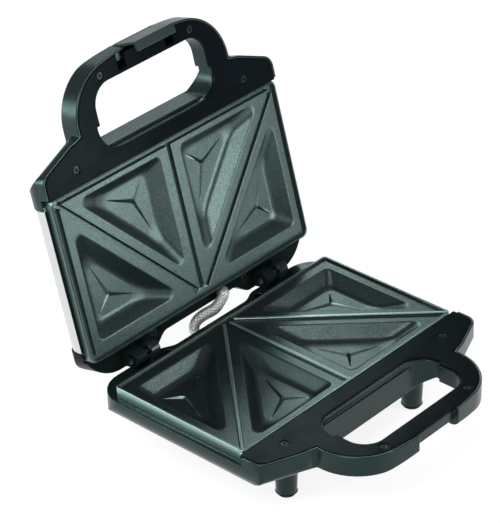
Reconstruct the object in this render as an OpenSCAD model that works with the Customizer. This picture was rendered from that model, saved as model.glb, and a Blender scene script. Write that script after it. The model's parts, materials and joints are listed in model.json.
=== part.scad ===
// Two-slice sandwich toaster with a hinged lid, shown open.
// Both halves are drawn as lower halves, with the hinge axis along X through the origin
// and the plates meeting at z = 0. The upper half is then turned over and swung open.

/* [Pose] */
// Angle between the plates when the lid rests on its stop
open_angle = 104.5; // [60:0.5:104.5]

/* [Cooking plates] */
// Width of a cooking plate
plate_w = 220; // [200:1:220]
// Depth of a cooking plate, from its hinge side to its handle side
plate_d = 118; // [110:1:118]
// Distance from the hinge axis to the plates
plate_back = 14; // [14:0.5:15]
// Depth of a bread pocket
pocket_depth = 10; // [7:0.5:10]
// Width of the land on each side of a diagonal ridge
diagonal_land = 8; // [7:0.5:10]

/* [Casing] */
// Overall width of the casing
casing_w = 230; // [230:1:236]
// Height of each casing half, from the joint plane to its flat face
casing_h = 28; // [28:0.5:30]
// Radius along the long side edges
edge_r = 18; // [14:1:20]
// Wall thickness of the plastic shells
wall = 2.5; // [2:0.1:2.6]
// Thickness of the handle loops
handle_h = 16; // [16:0.5:18]
// Half width of the latch notch in the lower handle
notch_half = 20.5; // [20:0.5:22]

/* [Legs] */
// Height of the hinge axis above the table
axis_height = 57.8; // [50:0.1:65]
// Radius of a leg where it meets the casing
leg_r = 8.6; // [7:0.1:9]

/* [Latch] */
// Angle of the stored clip, outwards from square to the lid
clip_rest = 9; // [9:1:30]

/* [Hidden] */
$fn = 64;
gap = 0.15;      // assembly gap between fitted pieces
eps = 0.02;      // gap between pieces that touch
far = 400;

// Casing
half_w = casing_w / 2;
deck_z = -7.5;           // top edge of the casing round the plate
deck_t = 2.5;
base_rear = [3, 24, 10];     // rear face behind the hinge axis, plan corner radius, edge radius
lid_rear = [6.2, 32, 16];
waist_half = 35;         // half width of the drawn-in middle of the rear wall
waist_back = -2;         // rear face there
flare = 15;              // width of the curve at each end of the waist
slope_y = -144;          // the casing floor slopes up to the handle from here
slope_end_y = -161;
block_half = 60;         // the floor runs on to the finger hole over this half width
frame_y = -135;          // the casing stands up to the joint plane in front of here
frame_top = -0.6;
cover_front = -126.5;    // visible steel of the lid cover
cover_back = -20;
cover_inset = 1;
cover_t = 0.8;
cover_lap = [3, 0.6];    // how far the steel reaches under the front and rear frames

// Handle loops
loop_r = 38.8;           // outer corners of the loop
loop_x = 36;
bow_r = 250;             // gentle curve of the front bar
bow_front = -210;
bar_r = 7;               // soft outer edge of the front bar
bow_angle = asin(loop_x / (bow_r - loop_r));
loop_y = bow_front + bow_r - (bow_r - loop_r) * cos(bow_angle);
valley_y = -165.9;
valley_bend = [78, -164.6];
slope_from = [85, -163];  // straight slope from the handle to the casing's front corner
slope_angle = 22.2;
corner_r = 10;
corner_y = slope_from.y + (half_w - slope_from.x) * tan(slope_angle);
corner_share = tan(45 - slope_angle / 2);
// Lower edge along the slope: height of the wall, radius, tilt of the face under it, foot of the screw boss
base_front = [11.3, 8, 34, -23.5];
lid_front = [2.5, 12, 51, -21];
hole_rear = -145;
hole_rear_r = 18.5;      // rear corners of the finger hole
hole_rear_x = 39;
hole_front_r = 16.2;     // front corners of the finger hole
hole_front_x = 38.7;
hole_front_y = -176.3;
hole_step_y = -165.5;    // small step in the sides of the hole
hole_wall_y = -147;      // rear wall of the hole below the ledge
panel_t = 2.5;
panel_top = -0.3;
panel_inset = 1.8;
panel_screw_spots = [[83.8, -145.3], [44.4, -197.8]];
notch_y = -205.5;        // front face of the ledge that the clip hooks under
ledge_t = 10.5;

// Plates
plate_front = -plate_back - plate_d;
half_plate = plate_w / 2;
land_z = -1.2;           // flat land of the lower plate
upper_rise = 1;          // the upper plate's land is this much nearer the joint plane
rim_w = 2;
rim_h = 2;
ridge_w = 2.6;
plate_t = 2.5;
skirt_t = 2.2;
skirt_z = -9.5;
skirt_gap = 0.6;         // between a plate's edge and the casing
lip_out = 1.8;           // the upper plate's lip stands this far outside the lower plate
pocket_slant = 9;        // how far the pocket walls slope in
pocket_r = 5;
side_land = 8.5;
rear_land = 10;
mid_land = 9.5;
front_land = 6;
ear_x = 47.6;            // rear plate ears and their screws
rear_ear_y = -5.2;
rear_ear_end = -3.4;
front_ear_x = 60;
front_ear_y = -138.5;

// Heating elements
element_r = 3.25;
element_z = -17.1;
element_y1 = -52;
element_y2 = -98;
element_run = 58;
shield_z = -21;
shield_t = 0.6;
shield_half = 92.5;
shield_front = -126;
shield_back = -21;

// Hinges
hinge_x = 67.5;          // middle of each hinge
knuckle_r = 6.4;
pin_r = 2.9;
pin_play = 0.05;
lid_knuckle = [-11.5, -1.5];
base_knuckle = [3, 11.5];

// Latch clip, in the closed lid
clip_axis = [-206.5, -9];
clip_half = 18.75;
clip_lip = 5.3;
clip_pin_r = 1.2;
clip_cut_y = -202;       // back of the slot that the clip sits in
tongue_y = -205.5;       // front edge of the upper panel's tongue behind the clip

// Legs: front and rear
leg_spots = [[67.4, -131.5], [60, -16]];
leg_foot_r = 7.3;
pad_r = 5.6;
pad_h = 2;

// Braided sleeve between the halves
sleeve_r = 3.75;
sleeve_swell = 0.6;      // the loose middle of the sleeve is this much fatter
sleeve_base = [-10, -2, -15];
sleeve_lid = [21, -7];   // in the closed lid
gland_x = 24;
gland_z = -18;

// The row's origin lies under the middle of the open toaster's box
front_reach = bow_front + bow_r - sqrt(pow(bow_r, 2) - pow(notch_half, 2));
lid_reach = (bow_front + bar_r) * cos(open_angle) + (handle_h - bar_r) * sin(open_angle) + bar_r;
origin_y = -(front_reach + lid_reach) / 2;

// Triangles of the pockets, right-hand side, right angle first
diag = [half_plate, -plate_d];
diag_n = [plate_d, half_plate] / norm(diag);
function on_line(d, x) = -plate_back + (d - diag_n.x * x) / diag_n.y;
function on_row(d, y) = (d - diag_n.y * (y + plate_back)) / diag_n.x;
outer_corner = [half_plate - side_land, -plate_back - rear_land];
outer_pocket = [outer_corner, [outer_corner.x, on_line(diagonal_land, outer_corner.x)],
    [on_row(diagonal_land, outer_corner.y), outer_corner.y]];
inner_corner = [mid_land, plate_front + front_land];
inner_pocket = [inner_corner, [inner_corner.x, on_line(-diagonal_land, inner_corner.x)],
    [on_row(-diagonal_land, inner_corner.y), inner_corner.y]];

function side_lengths(t) = [norm(t[1] - t[2]), norm(t[2] - t[0]), norm(t[0] - t[1])];
function perimeter(t) = side_lengths(t) * [1, 1, 1];
function incentre(t) = (side_lengths(t)[0] * t[0] + side_lengths(t)[1] * t[1]
    + side_lengths(t)[2] * t[2]) / perimeter(t);
function inradius(t) = side_lengths(t)[1] * side_lengths(t)[2] / perimeter(t);

// Placing

module in_row() translate([0, origin_y, axis_height]) children();

// A lower half's piece becomes the upper half's: turned over and swung open
module in_lid() in_row() rotate([-open_angle, 0, 0]) mirror([0, 0, 1]) children();

module both_sides() {
    children();
    mirror([1, 0, 0]) children();
}

module along_x(x0, x1) translate([x0, 0, 0]) rotate([90, 0, 90]) linear_extrude(x1 - x0) children();

// Outline in Y and Z, extruded over the whole width
module side_view() along_x(-far / 2, far / 2) children();

// Outline in X and Z, extruded along Y
module front_view(y0, y1) translate([0, y1, 0]) rotate([90, 0, 0]) linear_extrude(y1 - y0) children();

module slab(z0, z1) translate([0, 0, z0]) linear_extrude(z1 - z0) children();

// Round tube along a list of points
function unit(v) = v / norm(v);
function heading(p, i) = unit(p[min(i + 1, len(p) - 1)] - p[max(i - 1, 0)]);
function across(p, i, v) = i == len(p) ? []
    : let (d = heading(p, i), u = unit(v - (v * d) * d)) concat([[u, cross(d, u)]], across(p, i + 1, u));
module tube_along(p, r, sides, swell = 0) {
    frames = across(p, 0, [0.1, 0.2, 1]);
    points = [for (i = [0:len(p) - 1], k = [0:sides - 1]) p[i] + (r + swell * pow(sin(180 * i / (len(p) - 1)), 4))
        * (cos(360 * k / sides) * frames[i][0] + sin(360 * k / sides) * frames[i][1])];
    last = (len(p) - 1) * sides;
    walls = [for (i = [0:len(p) - 2], k = [0:sides - 1]) let (a = i * sides + k, b = i * sides + (k + 1) % sides)
        each [[a, b, a + sides], [b, b + sides, a + sides]]];
    caps = [for (k = [1:sides - 2]) each [[0, k + 1, k], [last, last + k, last + k + 1]]];
    polyhedron(points, concat(walls, caps));
}

// Smooth curve through a few points
function blend4(a, b, c, d, t) = 0.5 * (2 * b + (c - a) * t + (2 * a - 5 * b + 4 * c - d) * t * t
    + (3 * b - a - 3 * c + d) * t * t * t);
function smooth(p, n) = concat([for (i = [0:len(p) - 2], k = [0:n - 1])
    blend4(p[max(i - 1, 0)], p[i], p[i + 1], p[min(i + 2, len(p) - 1)], k / n)], [p[len(p) - 1]]);

// Casing outlines

// What is cut away outside a rounded corner, between two directions from its centre
module round_off(c, r, a0, a1) translate(c) difference() {
    polygon([[0, 0], for (a = [a0, (a0 + a1) / 2, a1]) 2 * r * [cos(a), sin(a)]]);
    circle(r);
}

// A half outline that starts on the centre line, and its mirror image
function whole(half) = concat(half, [for (i = [len(half) - 1:-1:1]) [-half[i].x, half[i].y]]);

function bow_point(a, r) = [r * sin(a), bow_front + bow_r - r * cos(a)];

// Outline of the whole casing with its handle loop
module plan(inset, rear = base_rear) difference() {
    side = loop_x + loop_r - inset;
    turn = bow_point(bow_angle, bow_r - inset);
    last_chord = bow_angle * 11 / 12;
    polygon(whole(concat(
        [for (i = [0:5]) bow_point(bow_angle * i / 6, bow_r - inset)],
        [[side, turn.y + (side - turn.x) * tan(last_chord)], [side, valley_y + 0.9 * inset],
            valley_bend + inset * [-0.22, 0.97],
            slope_from + inset * [-sin(slope_angle), cos(slope_angle)],
            [half_w - inset, corner_y + corner_share * inset], [half_w - inset, rear[0] - inset]])));
    both_sides() {
        round_off([loop_x, loop_y], loop_r - inset, last_chord - 90, 0);
        round_off([half_w - corner_r, corner_y + corner_share * corner_r], corner_r + 0.03 - inset,
            slope_angle - 90, 0);
        round_off([half_w - rear[1], rear[0] - rear[1]], rear[1] - inset, 0, 90);
    }
    polygon(whole(concat([[0, waist_back - inset]], [for (i = [0:6]) waist_point(i / 6, rear[0], inset)],
        [[waist_half + flare, rear[0] + 1]])));
}

// Point on the curve from the waist out to the full depth
function waist_point(t, reach, inset) = let (
        rise = reach - waist_back,
        lean = atan(rise * PI / 2 / flare * sin(180 * t)))
    [waist_half + flare * t, waist_back + rise * (1 - cos(180 * t)) / 2] + inset * [sin(lean), -cos(lean)];

// What is cut away below the handle's slope, from the handle loop out past the casing's corner
module slope_cut(inset, form) both_sides() intersection() {
    r = form[1] - inset;
    tilt = form[2];
    translate([slope_from.x, slope_from.y, 0]) rotate(slope_angle) rotate([90, 0, 90])
        translate([0, 0, -40]) linear_extrude(120) translate([form[1] - 0.05, -form[0]]) {
            round_off([0, 0], r, 180, 270 - tilt);
            rotate(-tilt) translate([-30, -r - 40]) square([80, 40.02]);
        }
    translate([loop_x + loop_r - inset, -far, -far]) cube(2 * far);
}

// Finger hole; below the ledge its rear wall stands further forward
module hole_plan(grow, back = hole_rear) difference() {
    rear_side = hole_rear_x + hole_rear_r + grow;
    front_side = hole_front_x + hole_front_r + grow;
    front = hole_front_y - hole_front_r - grow;
    polygon(whole([[0, front], [front_side, front], [front_side, hole_step_y - grow],
        [rear_side, hole_step_y - grow], [rear_side, back + grow]]));
    both_sides() {
        round_off([hole_rear_x, hole_rear - hole_rear_r], hole_rear_r + grow, 0, 90);
        round_off([hole_front_x, hole_front_y], hole_front_r + grow, -90, 0);
    }
}

module cross_section(inset) difference() {
    translate([inset - half_w, inset - casing_h]) square([2 * (half_w - inset), casing_h + 5]);
    both_sides() round_off([half_w - edge_r, edge_r - casing_h], edge_r - inset, -90, 0);
}

module profile(inset, rear) difference() {
    polygon([[rear[0] - inset, 5], [rear[0] - inset, inset - casing_h], [slope_y, inset - casing_h],
        [slope_end_y, inset - handle_h], [-far, inset - handle_h], [-far, 5]]);
    round_off([rear[0] - rear[2], rear[2] - casing_h], rear[2] - inset, -90, 0);
}

module casing_solid(inset, rear, top, form) difference() {
    intersection() {
        slab(-casing_h, top) plan(inset, rear);
        side_view() profile(inset, rear);
        front_view(-far, far) cross_section(inset);
    }
    slope_cut(inset, form);
}

// Everything in front of a line across the casing, or behind it
module front_of(y) translate([-far / 2, y - far, -far / 2]) cube(far);
module behind(y) translate([-far / 2, y, -far / 2]) cube(far);

module bar_edge() side_view() round_off([bow_front + bar_r, bar_r - handle_h], bar_r, 180, 270);

module knuckle(span, back, bore_r) difference() {
    along_x(span[0], span[1]) {
        circle(knuckle_r);
        translate([-knuckle_r, deck_z - 1]) square([knuckle_r + back, 1 - deck_z]);
    }
    along_x(span[0] - 1, span[1] + 1) circle(bore_r);
}

module screw(shank_r, length, head_r, head_h) {
    difference() {
        translate([0, 0, -head_h]) cylinder(h = head_h, r = head_r, $fn = 32);
        for (a = [0, 90]) rotate(a) translate([-head_r * 0.6, -0.4, -1]) cube([head_r * 1.2, 0.8, 2]);
    }
    translate([0, 0, -head_h - length]) cylinder(h = length, r = shank_r, $fn = 24);
}

// Shell shared by both halves: deck, cavity, ledge and bosses
module shell(rear, grow, form) difference() {
    union() {
        difference() {
            union() {
                intersection() {
                    casing_solid(0, rear, deck_z, form);
                    behind(frame_y - 1);
                }
                intersection() {
                    casing_solid(0, rear, frame_top, form);
                    front_of(frame_y);
                }
                slab(-casing_h, 1 - handle_h) intersection() {
                    translate([-block_half, hole_wall_y]) square([2 * block_half, 20]);
                    hole_plan(wall, hole_wall_y);
                }
            }
            difference() {
                casing_solid(wall, rear, deck_z - deck_t, form);
                slab(-far, far) hole_plan(wall, hole_wall_y);
            }
            // opening for the plate
            slab(deck_z - deck_t - 1, 1) plate_rect(grow + skirt_gap);
            // recess under the handle panel
            slab(panel_top - panel_t - eps, 1) plan(panel_inset, rear);
            difference() {
                slab(wall - handle_h, 0) difference() {
                    plan(wall + 0.3, rear);
                    hole_plan(wall);
                    translate([-far / 2, plate_front - 1]) square(far);
                }
                slope_cut(wall, form);
            }
        }
        // screw bosses
        both_sides() {
            for (i = [0, 1]) translate([panel_screw_spots[i].x, panel_screw_spots[i].y, [form[3], -15][i]])
                cylinder(h = panel_top - panel_t - 2 * eps - [form[3], -15][i], r = 4);
            translate([front_ear_x, front_ear_y, 1 - casing_h]) cylinder(h = casing_h - 13.1, r = 4);
            translate([ear_x, rear_ear_y, deck_z - deck_t - 0.45]) cylinder(h = 1, r = 4.2);
        }
    }
    slab(-far, deck_z) hole_plan(0, hole_wall_y);
    slab(deck_z - eps, 1) hole_plan(0);
    both_sides() {
        for (p = panel_screw_spots) translate([p.x, p.y, 3 - handle_h]) cylinder(h = handle_h, r = 1.3);
        translate([front_ear_x, front_ear_y, -24]) cylinder(h = 24, r = 1.3);
        translate([ear_x, rear_ear_y, deck_z - deck_t - 1]) cylinder(h = 9, r = 1.7);
        translate([ear_x, rear_ear_y, deck_z - 1.4]) cylinder(h = 9, r = 3.4);
    }
}

// Base pieces

module base_shell() in_row() color("#20282b") difference() {
    union() {
        difference() {
            shell(base_rear, 0, base_front);
            // latch notch, open below its ledge
            translate([-notch_half, -far, -far / 2]) cube([2 * notch_half, far + notch_y, far]);
            translate([-notch_half, -far, -far - ledge_t]) cube([2 * notch_half, far - 195.2, far]);
        }
        // ledge and its closing walls
        translate([-notch_half - 1, notch_y, -ledge_t]) cube([2 * (notch_half + 1), 11.5, wall]);
        translate([-notch_half - 1, notch_y, -ledge_t]) cube([2 * (notch_half + 1), wall, ledge_t - panel_t - 0.5]);
        both_sides() translate([notch_half, -208, 1 - handle_h]) cube([wall, 14, handle_h - 4]);
        for (s = [-1, 1]) translate([s * hinge_x, 0, 0]) knuckle(base_knuckle, base_rear[0], pin_r);
    }
    bar_edge();
    for (p = leg_spots) both_sides() translate([p.x, p.y, -casing_h - 1]) cylinder(h = 5, r = 1.7);
    translate([sleeve_base.x, 5, sleeve_base.z]) rotate([90, 0, 0]) cylinder(h = 12, r = 5.1);
    translate([gland_x, 5, gland_z]) rotate([90, 0, 0]) cylinder(h = 12, r = 5.1);
}

module handle_panel(grow) difference() {
    slab(panel_top - panel_t, panel_top) difference() {
        plan(panel_inset + gap);
        hole_plan(0);
        translate([-far / 2, plate_front - grow - gap]) square(far);
    }
    for (p = panel_screw_spots) both_sides() {
        translate([p.x, p.y, -5]) cylinder(h = 9, r = 1.7);
        translate([p.x, p.y, -1.9]) cylinder(h = 9, r = 2.8);
    }
}

module base_handle_panel() in_row() color("#1b2027") difference() {
    handle_panel(0);
    translate([-notch_half, -far + notch_y - 0.2, -10]) cube([2 * notch_half, far, 20]);
}

module panel_screws() for (p = panel_screw_spots) both_sides()
    translate([p.x, p.y, -1]) screw(1.25, 8, 2.6, 0.9);

module base_panel_screws() in_row() color("#111416") panel_screws();

module pocket_solid(t, r, grow, depth) {
    c = incentre(t);
    r_in = inradius(t) + grow;
    translate([c.x, c.y, land_z]) mirror([0, 0, 1])
        linear_extrude(depth, scale = (r_in - pocket_slant) / r_in)
            translate(-c) offset(r = r + grow, $fn = 24) offset(delta = -r) polygon(t);
}

// Three-armed raised mark on a pocket's floor
module pocket_mark(t) {
    c = incentre(t);
    z = land_z - pocket_depth;
    tips = [for (v = t) c + 0.45 * (v - c)];
    waist = [for (i = [0:2]) c + 1.6 * unit((tips[i] + tips[(i + 1) % 3]) / 2 - c)];
    star = [for (i = [0:2]) each [tips[i], waist[i]]];
    points = concat([for (p = star) [p.x, p.y, z - 0.5]], [[c.x, c.y, z + 2.2]], [[c.x, c.y, z - 0.6]]);
    turn = cross([star[1].x - star[0].x, star[1].y - star[0].y, 0], [star[2].x - star[0].x, star[2].y - star[0].y, 0]).z > 0;
    faces = [for (i = [0:5]) each turn ? [[(i + 1) % 6, i, 6], [i, (i + 1) % 6, 7]]
        : [[i, (i + 1) % 6, 6], [(i + 1) % 6, i, 7]]];
    polyhedron(points, faces);
}

module plate_rect(grow) translate([-half_plate - grow, plate_front - grow])
    square([plate_w + 2 * grow, plate_d + 2 * grow]);

// Bar along each dividing line, short of the point where they meet
module dividers(width, grow) {
    intersection() {
        union() {
            translate([-width / 2, plate_front - grow]) square([width, plate_d - 6 + grow]);
            both_sides() translate([0, -plate_back]) rotate(-atan2(plate_d, half_plate))
                translate([7, -width / 2]) square([norm(diag) - 7, width]);
        }
        plate_rect(grow);
    }
}

// Rear ears are screwed to the deck from above, front ears are under the handle panel
module plate_ears(grow) difference() {
    both_sides() {
        translate([ear_x - 4.5, grow - plate_back - skirt_t, -12.5]) {
            cube([9, skirt_t, 5]);
            cube([9, rear_ear_end - grow + plate_back + skirt_t, 2]);
        }
        translate([front_ear_x - 6, plate_front - grow, -12]) cube([12, skirt_t, 5]);
        translate([front_ear_x - 6, front_ear_y - 4, -12]) cube([12, plate_front + skirt_t - front_ear_y + 3, 2]);
    }
    both_sides() {
        translate([ear_x, rear_ear_y, -14]) cylinder(h = 5, r = 1.3);
        translate([front_ear_x, front_ear_y, -14]) cylinder(h = 5, r = 1.7);
    }
}

module plate_body(grow, rise) difference() {
    union() {
        translate([0, 0, rise]) {
            slab(land_z - plate_t, land_z) plate_rect(grow);
            slab(skirt_z, land_z) difference() {
                plate_rect(grow);
                plate_rect(grow - skirt_t);
            }
            both_sides() {
                pocket_solid(outer_pocket, pocket_r, plate_t, pocket_depth + plate_t);
                pocket_solid(inner_pocket, pocket_r, plate_t, pocket_depth + plate_t);
            }
        }
        plate_ears(grow);
    }
    translate([0, 0, rise + eps]) both_sides() {
        pocket_solid(outer_pocket, pocket_r, 0, pocket_depth + eps);
        pocket_solid(inner_pocket, pocket_r, 0, pocket_depth + eps);
    }
}

module pocket_marks() both_sides() {
    pocket_mark(outer_pocket);
    pocket_mark(inner_pocket);
}

module lower_plate() in_row() color("#39474a") {
    plate_body(0, 0);
    slab(land_z - 0.5, land_z + rim_h) {
        difference() {
            plate_rect(0);
            plate_rect(-rim_w);
        }
        dividers(ridge_w, 0);
    }
    pocket_marks();
}

module plate_screws() both_sides() {
    translate([ear_x, rear_ear_y, deck_z - 0.2]) screw(1.25, 6, 3.2, 1.1);
    translate([front_ear_x, front_ear_y, -8.6]) screw(1.25, 8, 3, 1.35);
}

module lower_plate_screws() in_row() color("#15181a") plate_screws();

module element() {
    mid = (element_y1 + element_y2) / 2;
    for (y = [element_y1, element_y2]) translate([-element_run - 22, y, element_z]) rotate([0, 90, 0])
        cylinder(h = 2 * element_run + 22, r = element_r);
    translate([element_run, mid, element_z]) rotate(-90) rotate_extrude(angle = 180, $fn = 96)
        translate([(element_y1 - element_y2) / 2, 0]) circle(element_r, $fn = 32);
    for (y = [element_y1, element_y2]) translate([-element_run - 32, y, element_z]) rotate([0, 90, 0])
        cylinder(h = 11, r = 1.2, $fn = 24);
}

module lower_heating_element() in_row() color("#7d6a52") element();

// Thin tray that keeps the heat off the casing
module tray_plan(inset) translate([-shield_half + inset, shield_front + inset])
    square([2 * (shield_half - inset), shield_back - shield_front - 2 * inset]);

module heat_shield() {
    slab(shield_z, shield_z + shield_t) tray_plan(0);
    for (y = [-40, -110]) both_sides() translate([60, y, wall - casing_h + eps])
        cylinder(h = shield_z - wall + casing_h, r = 4);
}

module shield_walls() difference() {
    slab(shield_z, -14) tray_plan(0);
    slab(shield_z - 1, 0) tray_plan(shield_t);
    for (y = [element_y1, element_y2]) translate([-100, y, element_z]) rotate([0, 90, 0])
        cylinder(h = 10, r = 2.4, $fn = 24);
}

module lower_heat_shield() in_row() color("#a9adaf") {
    heat_shield();
    shield_walls();
}

// Disc thermostat against the plate's underside, between the inner pockets
module thermostat() {
    translate([0, -76, -14]) cylinder(h = 9.8, r = 5.5);
    translate([0, -76, -17]) cylinder(h = 3.5, r = 3.5, $fn = 32);
    for (s = [-1, 1]) translate([s * 5.5 - 1, -77.5, -19]) cube([2, 3, 6]);
}

module lower_thermostat() in_row() color("#c9c2b0") thermostat();

module thermal_fuse() in_row() color("#d8d2c4") translate([-18, -8, -20]) rotate([0, 90, 0]) {
    cylinder(h = 22, r = 2.2, $fn = 32);
    translate([0, 0, -6]) cylinder(h = 34, r = 0.6, $fn = 24);
}

module terminal_block() in_row() color("#e3e0d6") difference() {
    translate([65, -13.4, -24.5]) cube([26, 9, 11]);
    for (i = [0:2]) translate([69.5 + 8.5 * i, -9, -22]) cylinder(h = 12, r = 1.6, $fn = 24);
}

// Leads: gland to block, block to thermostat, fuse to block, sleeve to element, thermostat to element
base_leads = [
    [[25, -8, -18], [32, -8, -18], [44, -8.5, -18], [64.9, -9, -18]],
    [[91.4, -9, -18], [93.5, -9, -18], [98, -13, -18.5], [102, -22, -19], [103, -40, -19], [103, -112, -19],
        [100, -127, -19], [88, -132.5, -19], [60, -132, -19], [12, -131, -18], [6, -131.3, -14.5],
        [5.5, -126.5, -11.4],
        [5.5, -104, -11.2], [5.5, -91, -11.6], [5.5, -84.5, -16], [5.5, -77.85, -18]],
    [[16.1, -8, -20], [24, -10.5, -21.5], [38, -10.5, -22], [55, -10, -21.5], [64.9, -9.5, -21.5]],
    [[-10, -6.5, -15], [-13, -8.5, -15], [-20, -11.5, -15], [-34, -11, -15], [-60, -11, -15.5],
        [-84, -12, -16], [-96, -15, -16.5], [-101, -26, -17.1], [-101, -40, -17.1], [-100, -49, -17.1],
        [-96, -52, -17.1], [-90.1, -52, -17.1]],
    [[-5.5, -77.85, -18], [-5.5, -84.5, -16], [-5.5, -91, -11.6], [-5.5, -104, -11.2], [-5.5, -126.5, -11.4],
        [-6, -131.3, -14.5], [-12, -131, -18], [-60, -132, -19], [-88, -132.5, -19], [-100, -127, -18.5],
        [-102, -112, -18], [-101, -101, -17.1], [-96, -98, -17.1], [-90.1, -98, -17.1]]
];

module base_wiring() in_row() color("#b9b4a6") for (p = base_leads) tube_along(smooth(p, 3), 1.1, 8);

module cord_gland() in_row() color("#15191b") translate([gland_x, waist_back, gland_z]) rotate([-90, 0, 0]) difference() {
    union() {
        translate([0, 0, 0.05]) cylinder(h = 3, r = 7);
        translate([0, 0, -4.5]) cylinder(h = 5, r = 5);
        translate([0, 0, 3]) cylinder(h = 2.6, r1 = 5.5, r2 = 5);
    }
    translate([0, 0, -6]) cylinder(h = 20, r = 3.3);
}

module legs() in_row() color("#1a2022") for (p = leg_spots) both_sides() translate([p.x, p.y, -axis_height]) difference() {
    union() {
        translate([0, 0, 2.6]) cylinder(h = axis_height - casing_h - eps - 2.6, r1 = leg_foot_r, r2 = leg_r);
        translate([0, 0, 0.6]) cylinder(h = 2.2, r1 = leg_foot_r - 1.3, r2 = leg_foot_r);
    }
    translate([0, 0, -1]) cylinder(h = 1 + pad_h, r = pad_r + 0.1);
    translate([0, 0, axis_height - casing_h - 14]) cylinder(h = 20, r = 1.6, $fn = 32);
}

module leg_screws() in_row() color("#9aa0a3") for (p = leg_spots) both_sides()
    translate([p.x, p.y, -casing_h + wall + 1.8]) screw(1.5, 12, 3.6, 1.75);

module foot_pads() in_row() color("#0f1112") for (p = leg_spots) both_sides() translate([p.x, p.y, -axis_height])
    cylinder(h = pad_h - eps, r = pad_r);

module hinge_pins() in_row() color("#8d9395") for (s = [-1, 1]) translate([s * hinge_x, 0, 0])
    along_x(lid_knuckle[0] - 1.2, base_knuckle[1]) circle(pin_r);

module base_grommet() in_row() color("#2b2f31") translate([sleeve_base.x, waist_back, sleeve_base.z])
    rotate([-90, 0, 0]) difference() {
        union() {
            translate([0, 0, 0.05]) cylinder(h = 1.2, r = 6);
            translate([0, 0, -3]) cylinder(h = 3.5, r = 5);
        }
        translate([0, 0, -6]) cylinder(h = 20, r = sleeve_r + 0.15);
    }

// The sleeve leaves the base's rear wall, rises in a curve and enters the lid's underside
sleeve_route = [[-10, -5, -15], [-10, -1, -15], [-10, 3.6, -14.6], [-8.6, 7, -12.2], [-4.6, 8, -8.6],
    [1.5, 6.6, -5.8], [9, 3.3, -3.1], [14.6, 2.1, 1.3], [18.6, 2.3, 5.1], [20.6, 4.2, 5.9],
    [21, 7.2, 5.4], [21, 9.5, 4.77], [21, 12, 4.13]];

module heat_sleeve() in_row() color("#b7b4a8") tube_along(smooth(sleeve_route, 2), sleeve_r, 12,
    sleeve_swell);

// Lid pieces

module lid_cover() in_lid() color("#d7dadc") {
    intersection() {
        front_view(cover_front - cover_lap[0], cover_back + cover_lap[1]) difference() {
            cross_section(cover_inset + eps);
            cross_section(cover_inset + cover_t);
        }
        slab(-casing_h, deck_z) square(far, center = true);
    }
    both_sides() translate([half_plate + lip_out + 0.4, cover_front - cover_lap[0], deck_z - cover_t])
        cube([half_w - cover_inset - eps - half_plate - lip_out - 0.4,
            cover_back - cover_front + cover_lap[0] + cover_lap[1], cover_t]);
}

// Thinned edge of a frame, over the steel
module cover_seat(y0, y1) front_view(y0, y1) cross_section(cover_inset);

module lamp_spots() for (s = [-1, 1]) translate([s * 12, -135, 0]) children();

module lid_front_frame() in_lid() color("#20282b") difference() {
    union() {
        difference() {
            intersection() {
                shell(lid_rear, lip_out, lid_front);
                front_of(cover_front);
            }
            translate([-clip_half - 0.45, bow_front - 10, -12.8])
                cube([2 * clip_half + 0.9, clip_cut_y - bow_front + 10, 20]);
            cover_seat(cover_front - cover_lap[0] - gap, cover_front + 1);
        }
        both_sides() translate([clip_half + 0.45, -208.5, 1 - handle_h]) cube([5.5, 8, handle_h - 4.5]);
        translate([-24, clip_cut_y, 1 - handle_h]) cube([48, 1.6, handle_h - 4.5]);
    }
    bar_edge();
    translate([0, clip_axis[0], clip_axis[1]]) along_x(-23.5, 23.5) circle(clip_pin_r + 0.03, $fn = 32);
    lamp_spots() translate([0, 0, -casing_h - 1]) cylinder(h = 6, r = 4.05);
}

module lid_rear_frame() in_lid() color("#20282b") difference() {
    union() {
        intersection() {
            shell(lid_rear, lip_out, lid_front);
            behind(cover_back);
        }
        for (s = [-1, 1]) translate([s * hinge_x, 0, 0]) difference() {
            knuckle(lid_knuckle, knuckle_r - 0.2, pin_r + pin_play);
            along_x(lid_knuckle[0] - 1, lid_knuckle[0] + 0.8) difference() {
                circle(4.9);
                circle(4.1);
            }
        }
    }
    cover_seat(cover_back - 1, cover_back + cover_lap[1] + gap);
    translate([sleeve_lid.x, sleeve_lid.y, -14]) cylinder(h = 10, r = 4.3);
}

// Cut open for the clip, with a tongue that closes the slot behind it
module lid_handle_panel() in_lid() color("#1b2027") difference() {
    handle_panel(lip_out);
    translate([-27, -far + tongue_y, -10]) cube([54, far, 20]);
    both_sides() translate([clip_half + 0.45, -far - 195, -10]) cube([26.55 - clip_half, far, 20]);
}

module lid_panel_screws() in_lid() color("#111416") panel_screws();

// The upper plate has grooves where the lower one has ridges, and a lip outside them
module upper_plate() in_lid() color("#4a5a5c") {
    difference() {
        plate_body(lip_out, upper_rise);
        slab(land_z + upper_rise - rim_h, 1) {
            difference() {
                plate_rect(0.4);
                plate_rect(-rim_w - 0.4);
            }
            dividers(ridge_w + 0.8, 0);
        }
    }
    translate([0, 0, upper_rise]) pocket_marks();
}

module upper_plate_screws() in_lid() color("#15181a") plate_screws();

module upper_heating_element() in_lid() color("#7d6a52") element();

module upper_heat_shield() in_lid() color("#a9adaf") {
    heat_shield();
    shield_walls();
}

module upper_thermostat() in_lid() color("#c9c2b0") translate([0, 0, 0.9]) thermostat();

module lamp_lens() {
    translate([0, 0, -casing_h - 0.9]) cylinder(h = 4.5, r = 4, $fn = 32);
    translate([0, 0, -casing_h + wall + eps]) cylinder(h = 1, r = 5.4, $fn = 32);
}

module power_lamp_lens() in_lid() color("#c02020") translate([-12, -135, 0]) lamp_lens();

module ready_lamp_lens() in_lid() color("#209040") translate([12, -135, 0]) lamp_lens();

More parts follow.
